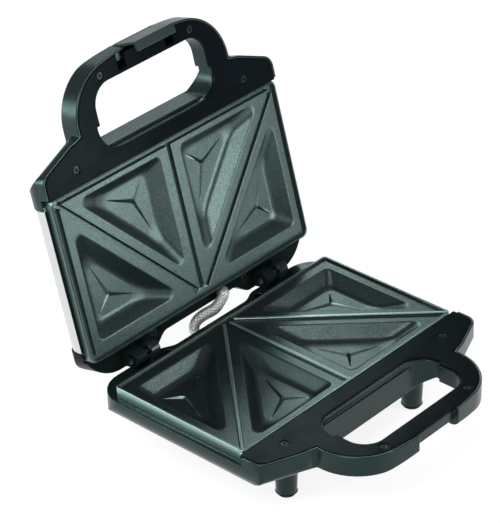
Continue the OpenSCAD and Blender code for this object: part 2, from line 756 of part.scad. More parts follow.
module neon_lamps() in_lid() color("#e8d8c0") lamp_spots() {
    translate([0, 0, -casing_h + wall + 1.15]) cylinder(h = 8, r = 2.6, $fn = 32);
}

// Leads: sleeve to element, sleeve to lamp, lamp to thermostat, thermostat to element
lid_leads = [
    [[19.4, -7, -11.6], [19, -8.5, -15], [14, -10, -18], [0, -10.5, -18], [-40, -11, -18], [-84, -12, -18],
        [-96, -15, -18], [-101, -26, -17.6], [-101, -40, -17.1], [-100, -49, -17.1], [-96, -52, -17.1],
        [-90.1, -52, -17.1]],
    [[22.8, -7.4, -11.6], [24, -8.5, -15], [30, -10, -18], [80, -12, -18], [95, -15, -18], [101, -26, -18],
        [102, -60, -18], [102, -110, -18], [100, -126, -18.5], [88, -132.5, -19], [60, -132, -19],
        [26, -134.5, -20], [19, -135, -20], [14.8, -135, -20]],
    [[9, -135, -20], [7.7, -135, -20], [6.3, -133.6, -18], [6, -131, -14.5], [5.5, -126.5, -11.4],
        [5.5, -104, -11.2],
        [5.5, -91, -11.6], [5.5, -84.5, -15], [5.5, -77.85, -16.5]],
    [[-5.5, -77.85, -16.5], [-5.5, -84.5, -15], [-5.5, -91, -11.6], [-5.5, -104, -11.2], [-5.5, -126.5, -11.4],
        [-6, -130.8, -14.5], [-24, -130.4, -18], [-60, -132, -19], [-88, -132.5, -19], [-100, -127, -18.5],
        [-102, -112, -18], [-101, -101, -17.1], [-96, -98, -17.1], [-90.1, -98, -17.1]]
];

module lid_wiring() in_lid() color("#b9b4a6") for (p = lid_leads) tube_along(smooth(p, 3), 1.1, 8);

module lid_grommet() in_lid() color("#2b2f31") translate([sleeve_lid.x, sleeve_lid.y, deck_z]) difference() {
    union() {
        translate([0, 0, 0.05]) cylinder(h = 0.8, r = 4.6);
        translate([0, 0, -3]) cylinder(h = 3.5, r = 4.25);
    }
    translate([0, 0, -6]) cylinder(h = 12, r = sleeve_r + 0.1);
}

// Latch clip

module clip_profile() {
    circle(3.4);
    translate([-3.5, 0]) square([2, 22.6]);
    translate([-3.5, 20.4]) square([clip_lip + 0.85, 2.3]);
    translate([clip_lip - 2.65, 21.55]) circle(1.15, $fn = 24);
}

module latch_clip() in_lid() color("#263033") translate([0, clip_axis[0], clip_axis[1]])
    rotate([clip_rest, 0, 0]) difference() {
        along_x(-clip_half, clip_half) clip_profile();
        along_x(-clip_half - 1, clip_half + 1) circle(clip_pin_r + 0.08, $fn = 32);
    }

module clip_pin() in_lid() color("#8d9395") translate([0, clip_axis[0], clip_axis[1]])
    along_x(-23, 23) circle(clip_pin_r, $fn = 32);

base_shell();
base_handle_panel();
base_panel_screws();
lower_plate();
lower_plate_screws();
lower_heating_element();
lower_heat_shield();
lower_thermostat();
thermal_fuse();
terminal_block();
base_wiring();
cord_gland();
legs();
leg_screws();
foot_pads();
hinge_pins();
base_grommet();
heat_sleeve();
lid_cover();
lid_front_frame();
lid_rear_frame();
lid_handle_panel();
lid_panel_screws();
upper_plate();
upper_plate_screws();
upper_heating_element();
upper_heat_shield();
upper_thermostat();
power_lamp_lens();
ready_lamp_lens();
neon_lamps();
lid_wiring();
lid_grommet();
latch_clip();
clip_pin();
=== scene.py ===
"""Looks of an open two-slice sandwich toaster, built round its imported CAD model."""

import json
import math
from types import SimpleNamespace

import bmesh
import bpy
import numpy as np
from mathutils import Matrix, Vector
from mathutils.geometry import delaunay_2d_cdt

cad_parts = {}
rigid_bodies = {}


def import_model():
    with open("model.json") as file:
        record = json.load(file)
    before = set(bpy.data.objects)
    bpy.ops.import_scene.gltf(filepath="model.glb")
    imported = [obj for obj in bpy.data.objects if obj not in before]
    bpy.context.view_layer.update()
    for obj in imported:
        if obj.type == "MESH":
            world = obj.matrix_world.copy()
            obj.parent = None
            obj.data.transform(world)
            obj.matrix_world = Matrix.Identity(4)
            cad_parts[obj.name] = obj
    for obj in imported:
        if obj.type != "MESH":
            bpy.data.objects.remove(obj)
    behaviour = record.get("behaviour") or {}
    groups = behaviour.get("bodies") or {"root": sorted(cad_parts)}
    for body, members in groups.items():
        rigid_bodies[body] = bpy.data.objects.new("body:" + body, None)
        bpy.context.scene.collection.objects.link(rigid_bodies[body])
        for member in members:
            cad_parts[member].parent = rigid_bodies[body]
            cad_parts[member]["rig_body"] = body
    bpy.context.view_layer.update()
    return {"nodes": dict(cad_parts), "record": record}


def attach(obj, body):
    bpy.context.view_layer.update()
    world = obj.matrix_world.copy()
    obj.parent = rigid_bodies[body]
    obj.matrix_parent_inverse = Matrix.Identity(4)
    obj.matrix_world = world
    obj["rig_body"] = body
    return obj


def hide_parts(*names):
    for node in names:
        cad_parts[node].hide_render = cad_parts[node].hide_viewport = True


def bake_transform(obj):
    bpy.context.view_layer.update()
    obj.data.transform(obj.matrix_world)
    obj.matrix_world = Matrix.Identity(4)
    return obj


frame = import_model()

# ---------------------------------------------------------------- frame
# Hinge frame: millimetres from the middle of the hinge's axis, which runs along X. Both halves
# are drawn in it as lower halves, with the cooking side up and the handle towards -Y.
AXIS = np.array([0, 71.30881, 57.8])
OPEN = math.radians(104.5)


def to_base(points):
    """Hinge-frame millimetres of the lower half to row-frame metres."""
    return (np.asarray(points, float) + AXIS) / 1000


def to_lid(points):
    """The same points turned over and swung open with the lid."""
    x, y, z = np.asarray(points, float).T
    c, s = math.cos(OPEN), math.sin(OPEN)
    return (np.stack([x, y * c - z * s, -y * s - z * c], 1) + AXIS) / 1000


# ---------------------------------------------------------------- materials
# Scales are per metre, and the distances of bumps are metres.
MIX_A, MIX_B, MIXED = 6, 7, 2  # the colour sockets of a mix node
TEAL_GLOSS = (0.62, 1, 0.98, 1)


def times(colour, factor, lift=0.0):
    """A lighter or darker shade of a colour."""
    return [c * factor + lift for c in colour]


class Nodes:
    """Short calls for building one node material."""

    def __init__(self, name):
        self.material = bpy.data.materials.new(name)
        self.material.use_nodes = True
        self.tree = self.material.node_tree
        self.shader = self.tree.nodes["Principled BSDF"]
        self.place = self.add("ShaderNodeTexCoord").outputs["Object"]

    def add(self, kind, **settings):
        node = self.tree.nodes.new(kind)
        for key, value in settings.items():
            setattr(node, key, value)
        return node

    def link(self, source, target):
        self.tree.links.new(source, target)

    def noise(self, scale, detail=2.0, rough=0.5, stretch=None):
        node = self.add("ShaderNodeTexNoise")
        node.inputs["Scale"].default_value = scale
        node.inputs["Detail"].default_value = detail
        node.inputs["Roughness"].default_value = rough
        self.link(self.stretched(stretch) if stretch else self.place, node.inputs["Vector"])
        return node.outputs["Fac"]

    def cells(self, scale):
        """Distance from the middle of the nearest of many scattered cells."""
        node = self.add("ShaderNodeTexVoronoi")
        node.inputs["Scale"].default_value = scale
        self.link(self.place, node.inputs["Vector"])
        return node.outputs["Distance"]

    def stretched(self, scales):
        """Coordinates scaled by axis: a pattern is drawn out along the smallest scale."""
        node = self.add("ShaderNodeMapping")
        node.inputs["Scale"].default_value = scales
        self.link(self.place, node.inputs["Vector"])
        return node.outputs["Vector"]

    def ramp(self, value, low, high, start=0.3, end=0.7):
        """From one colour or grey to the other while the value goes from start to end."""
        node = self.add("ShaderNodeValToRGB")
        stops = zip(node.color_ramp.elements, (start, end), (low, high))
        for element, at, colour in stops:
            grey = isinstance(colour, (int, float))
            element.position = at
            element.color = (colour, colour, colour, 1) if grey else (*colour, 1)
        self.link(value, node.inputs["Fac"])
        return node.outputs["Color"]

    def mix(self, factor, a, b, blend="MIX"):
        """Colour a where the factor is 0, colour b where it is 1."""
        node = self.add("ShaderNodeMix", data_type="RGBA", blend_type=blend)
        if isinstance(factor, (int, float)):
            node.inputs["Factor"].default_value = factor
        else:
            self.link(factor, node.inputs["Factor"])
        self.link(a, node.inputs[MIX_A])
        if isinstance(b, (tuple, list)):
            node.inputs[MIX_B].default_value = (*b, 1)
        else:
            self.link(b, node.inputs[MIX_B])
        return node.outputs[MIXED]

    def total(self, a, b):
        return self.mix(1, a, b, "ADD")

    def bump(self, height, distance, strength, under=None):
        node = self.add("ShaderNodeBump")
        node.inputs["Strength"].default_value = strength
        node.inputs["Distance"].default_value = distance
        self.link(height, node.inputs["Height"])
        if under is not None:
            self.link(under, node.inputs["Normal"])
        return node.outputs["Normal"]

    def pointiness(self):
        """About 0.5 on flat places, more on convex edges and less in hollows."""
        return self.add("ShaderNodeNewGeometry").outputs["Pointiness"]

    def edges(self, flat, sharp):
        """White on sharp convex edges and black elsewhere: where the plastic's finish wears, and
        where the plates get a painted highlight.
        """
        return self.ramp(self.pointiness(), 0, 1, flat, sharp)

    def hollows(self, deep, flat):
        """White in deep hollows and black elsewhere."""
        return self.ramp(self.pointiness(), 1, 0, deep, flat)

    def finish(self, colour, roughness, normal, **constants):
        self.link(colour, self.shader.inputs["Base Color"])
        self.link(roughness, self.shader.inputs["Roughness"])
        self.link(normal, self.shader.inputs["Normal"])
        for key, value in constants.items():
            self.shader.inputs[key.replace("_", " ")].default_value = value
        return self.material


def plastic(name, dark, light, roughness, grain, level):
    """Moulded plastic with a fine spark-eroded grain, faint cloudiness and rubbed edges."""
    n = Nodes(name)
    cloud = n.ramp(n.noise(22, 3), dark, light)
    lightened_edges = n.mix(n.edges(0.56, 0.68), cloud, times(light, 2.2, 0.008))
    speck = n.ramp(n.noise(1500), roughness - 0.05, roughness + 0.05, 0.35, 0.65)
    rub = n.ramp(n.noise(60, 4), 0.0, 0.09, 0.35, 0.75)
    normal = n.bump(n.noise(1300), 0.00008, grain)
    return n.finish(lightened_edges, n.total(speck, rub), normal,
                    Specular_IOR_Level=level, Specular_Tint=TEAL_GLOSS)


def nonstick(name, dark, light, roughness, edge_highlight):
    """Coated aluminium: speckled dark enamel with a soft metallic sheen, and a painted highlight on
    the sharp edges of its ridges, grooves and rim.
    """
    n = Nodes(name)
    base = n.ramp(n.noise(18, 3), dark, light)
    specks = n.ramp(n.noise(1100, 4, 0.75), times(dark, 0.55), times(light, 1.5), 0.40, 0.62)
    speckled = n.mix(0.65, base, specks)
    flecks = n.ramp(n.cells(900), 0.25, 0, 0.05, 0.11)
    flecked = n.mix(flecks, speckled, times(light, 1.8))
    # Painted highlight: a much lighter colour on sharp convex edges, where light catches the ridges
    # and rim
    lightened_edges = n.mix(n.edges(0.508, 0.555), flecked, times(light, edge_highlight))
    grit = n.ramp(n.noise(2200), roughness - 0.05, roughness + 0.06)
    smears = n.ramp(n.noise(35, 4), 0.0, 0.06, 0.4, 0.8)
    fine = n.bump(n.noise(2400, 3, 0.6), 0.00006, 0.55)
    normal = n.bump(n.noise(420), 0.0001, 0.25, fine)
    return n.finish(lightened_edges, n.total(grit, smears), normal, Metallic=0.86)


def brushed(name, colour, roughness):
    """Brushed sheet steel with faint stains, grained along X."""
    n = Nodes(name)
    grain = n.noise(1.0, 4, 0.6, stretch=(8, 900, 900))
    tone = n.ramp(grain, times(colour, 0.86), colour)
    stained = n.mix(n.ramp(n.noise(30, 4), 0, 0.3, 0.55, 0.8), tone, times(colour, 0.8))
    rough = n.ramp(grain, roughness - 0.03, roughness + 0.05, 0.25, 0.75)
    return n.finish(stained, rough, n.bump(grain, 0.00002, 0.3), Metallic=1.0)


def metal(name, dark, light, roughness):
    """Plain machined or plated metal with smudges."""
    n = Nodes(name)
    tone = n.ramp(n.noise(160, 4, 0.6), dark, light)
    rough = n.ramp(n.noise(500, 3), roughness - 0.07, roughness + 0.1)
    return n.finish(tone, rough, n.bump(n.noise(900, 3), 0.00004, 0.4), Metallic=1.0)


def dull(name, dark, light, roughness):
    """Ceramic, rubber, silicone and other parts without a sheen."""
    n = Nodes(name)
    tone = n.ramp(n.noise(75, 4), dark, light)
    rough = n.ramp(n.noise(600), roughness - 0.08, roughness + 0.08)
    return n.finish(tone, rough, n.bump(n.noise(1200), 0.00008, 0.4))


def lens(name, colour):
    """Tinted clear lens with fine moulding marks."""
    n = Nodes(name)
    tone = n.ramp(n.noise(250), times(colour, 0.75), colour)
    rough = n.ramp(n.noise(700), 0.08, 0.2)
    return n.finish(tone, rough, n.bump(n.cells(500), 0.0001, 0.3), Transmission_Weight=0.55)


def braid(name, dark, light, hollow_shade):
    """Glass-fibre yarn: pale strands with a sheen, and painted shade in the hollows of the weave.
    """
    n = Nodes(name)
    strand = n.ramp(n.noise(2600, 3, 0.7), dark, light)
    # Painted shade: a near-black colour in the hollows between the yarns
    shaded_weave = n.mix(n.hollows(0.46, 0.51), strand, hollow_shade)
    rough = n.ramp(n.noise(900), 0.34, 0.5)
    return n.finish(shaded_weave, rough, n.bump(n.noise(5200, 3), 0.00008, 0.6), Metallic=0.75)


# One for each material slot of the record, and two more: a darker, less glossy copy of the casing
# plastic with painted shade for the lid's rear frame, and a lighter copy of the plates' coating
# with painted light for the plate in the lid.
MATERIALS = {
    "casing_plastic": plastic("satin_casing", (0.006, 0.011, 0.011), (0.010, 0.018, 0.018),
                              roughness=0.22, grain=0.12, level=0.33),
    # A darker copy of the casing plastic with almost no gloss: painted shade on the lid's rear
    # frame and side trims
    "painted_shade_plastic": plastic("satin_rear_painted_shade", (0.005, 0.009, 0.009), (0.009, 0.014, 0.014),
                              roughness=0.24, grain=0.12, level=0.03),
    "panel_plastic": plastic("satin_panel", (0.0028, 0.0046, 0.0062), (0.0046, 0.0070, 0.0092),
                             roughness=0.18, grain=0.06, level=0.02),
    "clip_plastic": plastic("satin_clip", (0.013, 0.020, 0.020), (0.020, 0.029, 0.028),
                            roughness=0.34, grain=0.4, level=0.25),
    # One coating on both plates: painted darker on the base plate as painted shade, and lighter in
    # the lid as painted light
    "nonstick_plate": nonstick("nonstick_lower_painted_shade", (0.038, 0.055, 0.054), (0.054, 0.077, 0.075),
                               roughness=0.29, edge_highlight=6.0),
    "upper_nonstick_painted_light": nonstick("nonstick_upper_painted_light", (0.056, 0.086, 0.083), (0.078, 0.116, 0.111),
                               roughness=0.34, edge_highlight=2.2),
    "cover_steel": brushed("brushed_cover", (0.72, 0.73, 0.73), 0.26),
    "shield_steel": brushed("shield_sheet", (0.55, 0.56, 0.57), 0.35),
    "pin_steel": metal("pin", (0.03, 0.037, 0.04), (0.06, 0.07, 0.074), 0.34),
    "bright_screw": metal("plated_screw", (0.45, 0.46, 0.46), (0.60, 0.61, 0.61), 0.28),
    "dark_screw": metal("black_screw", (0.012, 0.017, 0.018), (0.032, 0.040, 0.043), 0.34),
    "element_tube": metal("heater_sheath", (0.16, 0.13, 0.09), (0.27, 0.23, 0.17), 0.5),
    "ceramic": dull("glazed_ceramic", (0.62, 0.58, 0.5), (0.75, 0.72, 0.65), 0.35),
    "block_plastic": dull("terminal_plastic", (0.68, 0.67, 0.62), (0.8, 0.79, 0.75), 0.45),
    "lead_sleeve": dull("silicone_lead", (0.42, 0.4, 0.34), (0.56, 0.53, 0.46), 0.55),
    "rubber": dull("black_rubber", (0.008, 0.009, 0.009), (0.018, 0.019, 0.019), 0.72),
    # Its last colour is the painted shade in the hollows of the weave
    "braid": braid("glass_braid", (0.34, 0.37, 0.36), (0.80, 0.85, 0.83), (0.07, 0.078, 0.075)),
    "red_lens": lens("red_lens", (0.5, 0.012, 0.01)),
    "green_lens": lens("green_lens", (0.01, 0.32, 0.07)),
    "lamp_glass": lens("lamp_glass", (0.85, 0.75, 0.62)),
}

SLOTS = {part["node"]: part["material_slot"] for part in frame["record"]["subparts"]}
for node, cad in frame["nodes"].items():
    cad.material_slots[0].material = MATERIALS[SLOTS[node]]


# ---------------------------------------------------------------- pieces
WELD_NEW, WELD_CAD = 2e-7, 1e-6  # metres, for the points of new meshes and of CAD meshes
SHARP = math.radians(50)  # faces that meet at more than this aren't shaded as one


def to_mesh(bm, name):
    mesh = bpy.data.meshes.new(name)
    bm.to_mesh(mesh)
    bm.free()
    return mesh


def piece(name, verts, faces, body, slot, material=None, replaces=(), thickness=0.0, up=None):
    """A new mesh piece in the row frame, welded. Its faces look outwards or, if it is open, up."""
    bm = bmesh.new()
    made = [bm.verts.new(v) for v in verts]
    for face in faces:
        bm.faces.new([made[i] for i in face])
    bmesh.ops.remove_doubles(bm, verts=bm.verts, dist=WELD_NEW)
    bmesh.ops.recalc_face_normals(bm, faces=bm.faces)
    if up is not None and sum(f.normal.dot(up) * f.calc_area() for f in bm.faces) < 0:
        bmesh.ops.reverse_faces(bm, faces=bm.faces)
    return dress(name, to_mesh(bm, name), body, slot, material, replaces, thickness)


def dress(name, mesh, body, slot, material, replaces, thickness=0.0):
    """An object of the mesh with its material, smooth shading, thickness and place in the frame."""
    mesh.materials.clear()
    mesh.materials.append(material or MATERIALS[slot])
    mesh.shade_smooth()
    mesh.set_sharp_from_angle(angle=SHARP)
    obj = bpy.data.objects.new(name, mesh)
    bpy.context.scene.collection.objects.link(obj)
    if thickness:
        solid = obj.modifiers.new("thickness", "SOLIDIFY")
        solid.thickness, solid.offset = thickness, -1
    obj.modifiers.new("normals", "WEIGHTED_NORMAL").keep_sharp = True
    if body:
        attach(obj, body)
    if replaces:
        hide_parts(*replaces)
    return obj


def bevel(obj, width):
    edges = obj.modifiers.new("edges", "BEVEL")
    edges.width, edges.segments = width, 2
    return edges


def soften(node, width, angle=32, material=None):
    """A copy of a CAD node with rounded moulded edges stands for it."""
    source = frame["nodes"][node]
    name = node + "_moulded"
    bm = bmesh.new()
    bm.from_mesh(source.data)
    bmesh.ops.remove_doubles(bm, verts=bm.verts, dist=WELD_CAD)
    obj = dress(name, to_mesh(bm, name), source["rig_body"], SLOTS[node], material, [node])
    edges = bevel(obj, width)
    edges.limit_method, edges.angle_limit = "ANGLE", math.radians(angle)
    edges.use_clamp_overlap = False
    obj.modifiers.move(len(obj.modifiers) - 1, 0)


BOX_QUADS = ((0, 1, 3, 2), (4, 6, 7, 5), (0, 4, 5, 1), (2, 3, 7, 6), (0, 2, 6, 4), (1, 5, 7, 3))
BOX_BEVEL = 0.0003


def mirrored_boxes(name, boxes, to_row, body, slot, material):
    """Softened boxes, each with its mirror image on the left. A box is its X, Y and Z ranges."""
    verts, faces = [], []
    for side in (1, -1):
        for x_range, y_range, z_range in boxes:
            start = len(verts)
            verts.extend((side * x, y, z) for x in x_range for y in y_range for z in z_range)
            faces.extend(tuple(start + i for i in quad) for quad in BOX_QUADS)
    bevel(piece(name, to_row(verts), faces, body, slot, material), BOX_BEVEL)


# ---------------------------------------------------------------- cooking plates
# The base plate's outline, in the hinge frame
HALF_W, REAR, FRONT = 110.0, -14.0, -132.0
HALF_L, MIDDLE_Y = (REAR - FRONT) / 2, (REAR + FRONT) / 2
CORNER_R, MIN_CORNER_R, CORNER_POINTS = 3.0, 0.15, 7
EDGE_R = 0.7
EDGE_INSETS = (0.0, 0.05, 0.15, 0.32, EDGE_R)
SHEET = 0.0016  # metres

# The dividers: one along the middle, and a diagonal from the rear edge's middle to each corner
ORIGIN = np.array([0, REAR])
DIAGONAL = np.array([HALF_W, FRONT - REAR])
LENGTH = np.linalg.norm(DIAGONAL)
ALONG = DIAGONAL / LENGTH
ACROSS = np.array([-ALONG[1], ALONG[0]])
MIDDLE_START, DIAGONAL_START, DIAGONAL_STOP = 6.0, 7.0, 2.2
END_STEPS, END_SHARES = (0.0, 0.15, 0.4, 0.8), (0, 0.6, 0.93, 1)

# land: height of the flat top. relief: height of the ridges, below 0 for grooves. half_width: of
# a ridge's top or a groove's bottom. rim: how far the ridge or groove along the rim lies inside
# the base plate's outline. stop: from the front edge to the middle divider's end. grow: how far
# the plate reaches past that outline. skirt: height of its lower edge.
BASE_PLATE = SimpleNamespace(body="base", to_row=to_base, land=-1.2, relief=2.0, half_width=1.3,
                             rim=0.7, stop=0.9, grow=0.0, skirt=-9.5)
LID_PLATE = SimpleNamespace(body="lid", to_row=to_lid, land=-0.2, relief=-3.0, half_width=1.8,
                            rim=1.0, stop=1.2, grow=1.8, skirt=-8.5)

# The pockets: a right angle on the right-hand side, and a long side that lies DIAGONAL_LAND
# from the diagonal
DIAGONAL_LAND = 8.0
POCKETS = (((HALF_W - 8.5, REAR - 10), DIAGONAL_LAND), ((9.5, FRONT + 6), -DIAGONAL_LAND))
POCKET_DEPTH = 10.0
POCKET_OVERLAP = 0.4
BROW_R, FOOT_R, WALL_SLOPE = 1.6, 6.5, math.radians(52)
BROW_STEPS, FOOT_STEPS = 6, 9
POCKET_CORNER_R = (4.6, 6.5)  # at the top and at the floor
# Degrees to both sides of a corner's heading at which the rings have points
CORNER_FAN = (0, 0.6, 1.2, 2, 3, 4.2, 5.6, 7.5, 10, 13, 17, 22, 28, 35, 43)
MIN_TURN = math.radians(0.25)

# The raised mark on a pocket's floor: three arms, as long as a share of the way to the corners.
# Its profile gives shares of its reach, and of its height there.
ARM_SHARE, ARM_HALF_W, MARK_RISE, MARK_CLEARANCE = 0.45, 1.5, 1.8, 1.1
MARK_PROFILE = ((1.06, 0), (1.0, 0.03), (0.93, 0.09), (0.6, 0.4), (0.3, 0.7))

# The tabs that the plates' screws go through, outside the rear and front edges
TABS = (((43.1, 52.1), (-16.0, -3.4), (-12.5, -10.5)),
        ((43.1, 52.1), (-16.0, -14.1), (-11.0, -7.5)),
        ((54, 66), (-142.5, -131.5), (-12, -10)),
        ((54, 66), (-132, -130.2), (-11.5, -7)))


def side_profile(plate):
    """Distances from a ridge's or groove's middle line, and the share of its height there."""
    top, foot, draft = 0.6, 0.4, 0.08
    w, h = plate.half_width, abs(plate.relief)
    a = np.linspace(0, math.pi / 2, 5)
    q = np.concatenate([[0], w - top + top * np.sin(a), w + draft + foot * (1 - np.cos(a))])
    z = np.concatenate([[h], h - top * (1 - np.cos(a)), foot * (1 - np.sin(a))])
    return q, z / h


def edge_distance(x, y, grow):
    """Distance inside the plate's outline, a rectangle with rounded corners."""
    dx = np.abs(x) - (HALF_W + grow - CORNER_R)
    dy = np.abs(y - MIDDLE_Y) - (HALF_L + grow - CORNER_R)
    outside = np.hypot(np.maximum(dx, 0), np.maximum(dy, 0))
    return CORNER_R - outside - np.minimum(np.maximum(dx, dy), 0)


def divider_distances(x, y):
    """For the middle divider and the diagonal ones, how far a point lies across and along it."""
    s = np.abs(x)
    across = np.abs(s * ALONG[1] - (y - REAR) * ALONG[0])
    along = s * ALONG[0] + (y - REAR) * ALONG[1]
    return [(s, REAR - MIDDLE_START - y), (across, along - DIAGONAL_START)]


def plate_height(x, y, plate):
    """Height of a cooking surface outside its pockets."""
    q, share = side_profile(plate)
    past_rim = edge_distance(x, y, 0.0) - plate.rim
    ridge = plate.relief > 0
    rim = np.interp(np.maximum(past_rim, 0) if ridge else np.abs(past_rim), q, share)
    bars = [np.interp(across, q, share) * np.interp(along, END_STEPS, END_SHARES)
            for across, along in divider_distances(x, y)]
    relief = np.maximum(rim, np.where(past_rim > 0, np.maximum(*bars), 0))
    over_edge = np.clip(EDGE_R - edge_distance(x, y, plate.grow), 0, EDGE_R)
    drop = EDGE_R - np.sqrt(np.maximum(EDGE_R**2 - over_edge**2, 0))
    return plate.land + plate.relief * relief - drop


def rounded_outline(grow, inset):
    """Closed outline of the plate, moved outwards by grow and inwards by inset."""
    r = max(CORNER_R - inset, MIN_CORNER_R)
    w, h = HALF_W + grow - inset - r, HALF_L + grow - inset - r
    points = []
    for k, (sx, sy) in enumerate([(1, 1), (-1, 1), (-1, -1), (1, -1)]):
        for i in range(CORNER_POINTS):
            a = math.pi / 2 * (k + i / (CORNER_POINTS - 1))
            points.append((sx * w + r * math.cos(a), MIDDLE_Y + sy * h + r * math.sin(a)))
    return points


def triangle(corner, land):
    """Corners of a right-hand pocket's outline, right angle first."""
    x, y = corner
    y_end = REAR + (land - ACROSS[0] * x) / ACROSS[1]
    x_end = (land - ACROSS[1] * (y - REAR)) / ACROSS[0]
    return np.array([(x, y), (x, y_end), (x_end, y)])


def incentre(t):
    """Centre and radius of the circle inside a triangle with its right angle first."""
    sides = np.linalg.norm(np.roll(t, -1, 0) - np.roll(t, -2, 0), axis=1)
    return sides @ t / sides.sum(), sides[1] * sides[2] / sides.sum()


def ray_to_rounded(t, centre, directions, inset, r):
    """Distance from the centre to a triangle moved inwards by inset, its corners rounded to r.

    It is found by halving the way between a point inside and one outside."""
    farthest, halvings = 200.0, 44
    _, radius = incentre(t)
    core = centre + (t - centre) * (radius - inset - r) / radius
    low, high = np.zeros(len(directions)), np.full(len(directions), farthest)
    for _ in range(halvings):
        mid = (low + high) / 2
        p = centre + directions * mid[:, None]
        nearest = np.full(len(p), np.inf)
        inside = np.ones(len(p), bool)
        for a, b in zip(core, np.roll(core, -1, 0)):
            ab, ap = b - a, p - a
            k = np.clip(ap @ ab / (ab @ ab), 0, 1)
            nearest = np.minimum(nearest, np.linalg.norm(ap - k[:, None] * ab, axis=1))
            inwards = np.array([-ab[1], ab[0]])
            inwards = inwards if inwards @ (centre - a) > 0 else -inwards
            inside &= ap @ inwards > 0
        out = np.where(inside, -nearest, nearest) > r
        high, low = np.where(out, mid, high), np.where(out, low, mid)
    return (low + high) / 2


def ring_angles(headings):
    """Directions of a ring's points, closest together towards the corners."""
    degrees = {round(float(np.degrees(h)) + side * a, 6)
               for h in headings for a in CORNER_FAN for side in (-1, 1)}
    angles = np.sort(np.mod(np.radians(list(degrees)), 2 * math.pi))
    return angles[np.diff(np.append(angles, angles[0] + 2 * math.pi)) > MIN_TURN]


def wall_steps():
    """Inset and depth of each ring of a pocket's wall, from the land down to the floor."""
    sin, cos = math.sin(WALL_SLOPE), math.cos(WALL_SLOPE)
    run = (POCKET_DEPTH - (BROW_R + FOOT_R) * (1 - cos)) / math.tan(WALL_SLOPE)
    steps = [(-POCKET_OVERLAP, 0.0)]
    steps += [(BROW_R * math.sin(a), BROW_R * (1 - math.cos(a)))
              for a in np.linspace(0, WALL_SLOPE, BROW_STEPS)]
    brow, foot = steps[-1], (BROW_R * sin + run, POCKET_DEPTH - FOOT_R * (1 - cos))
    steps += [(brow[0] + run * k, brow[1] + (foot[1] - brow[1]) * k) for k in (0.33, 0.67)]
    steps += [(foot[0] + FOOT_R * (sin - math.sin(a)), POCKET_DEPTH - FOOT_R * (1 - math.cos(a)))
              for a in np.linspace(WALL_SLOPE, 0, FOOT_STEPS)]
    return steps


def mark_reach(corners, headings, angles):
    """Distance from the pocket's centre to the foot of its three-armed mark."""
    reach = np.zeros(len(angles))
    for corner, heading in zip(corners, headings):
        turn = np.mod(angles - heading + math.pi, 2 * math.pi) - math.pi
        arm = ARM_SHARE * np.linalg.norm(corner)
        side = 1 / (np.cos(turn) / arm + np.abs(np.sin(turn)) / ARM_HALF_W)
        reach = np.where(np.abs(turn) < math.pi / 2, np.maximum(reach, side), reach)
    return reach


def pocket(t):
    """Rings of points down the wall, across the floor and up the mark, and the mark's top."""
    centre, _ = incentre(t)
    corners = t - centre
    headings = np.arctan2(corners[:, 1], corners[:, 0])
    angles = ring_angles(headings)
    u = np.stack([np.cos(angles), np.sin(angles)], 1)
    rings = []
    for inset, depth in wall_steps():
        r = np.interp(depth, [0, POCKET_DEPTH], POCKET_CORNER_R)
        reach = ray_to_rounded(t, centre, u, inset, r)
        rings.append((centre + u * reach[:, None], -depth))

    mark = mark_reach(corners, headings, angles)
    floor = centre + (rings[-1][0] - centre) * 0.5
    clear = np.linalg.norm(floor - centre, axis=1) > mark * MARK_CLEARANCE
    round_mark = centre + u * (mark * MARK_CLEARANCE)[:, None]
    rings.append((np.where(clear[:, None], floor, round_mark), -POCKET_DEPTH))
    for share, height in MARK_PROFILE:
        rings.append((centre + u * (mark * share)[:, None], -POCKET_DEPTH + MARK_RISE * height))
    return rings, (centre, -POCKET_DEPTH + MARK_RISE)


class Lines:
    """Points in the plane and the edges between them, for a triangulation to follow."""

    def __init__(self):
        self.points, self.edges = [], []

    def loop(self, points):
        start, n = len(self.points), len(points)
        self.points.extend(tuple(p) for p in points)
        self.edges.extend((start + i, start + (i + 1) % n) for i in range(n))

    def line(self, a, b):
        self.edges.append((len(self.points), len(self.points) + 1))
        self.points.extend([tuple(a), tuple(b)])

    def line_pair(self, a, b):
        for side in (1, -1):
            self.line((side * a[0], a[1]), (side * b[0], b[1]))


def on_diagonal(along, across):
    return ORIGIN + ALONG * along + ACROSS * across


def fold_lines(plate):
    """The lines along which a plate's top bends: its edge, its rim and its dividers."""
    q, _ = side_profile(plate)
    wide = q[-1]
    lines = Lines()
    for inset in EDGE_INSETS:
        lines.loop(rounded_outline(plate.grow, inset))
    for inset in plate.rim + (q[1:] if plate.relief > 0 else np.concatenate([-q[1:], q[1:]])):
        lines.loop(rounded_outline(0.0, inset))
    for offset in np.concatenate([-q[:0:-1], q]):
        lines.line((offset, FRONT + plate.stop), (offset, REAR - MIDDLE_START))
        lines.line_pair(on_diagonal(DIAGONAL_START, offset),
                        on_diagonal(LENGTH - DIAGONAL_STOP, offset))
    for step in END_STEPS:
        end = REAR - MIDDLE_START - step
        lines.line((-wide, end), (wide, end))
        lines.line_pair(on_diagonal(DIAGONAL_START + step, -wide),
                        on_diagonal(DIAGONAL_START + step, wide))
    return lines


def add_pocket(verts, faces, rings, top, land):
    """Adds the faces between a pocket's rings, and those round the top of its mark."""
    start, n = len(verts), len(rings[0][0])
    for points, z in rings:
        verts.extend((x, y, land + z) for x, y in points)
    for a in range(start, start + (len(rings) - 1) * n, n):
        faces.extend((a + i, a + (i + 1) % n, a + n + (i + 1) % n, a + n + i) for i in range(n))
    (x, y), z = top
    verts.append((x, y, land + z))
    last = start + (len(rings) - 1) * n
    faces.extend((last + i, last + (i + 1) % n, len(verts) - 1) for i in range(n))


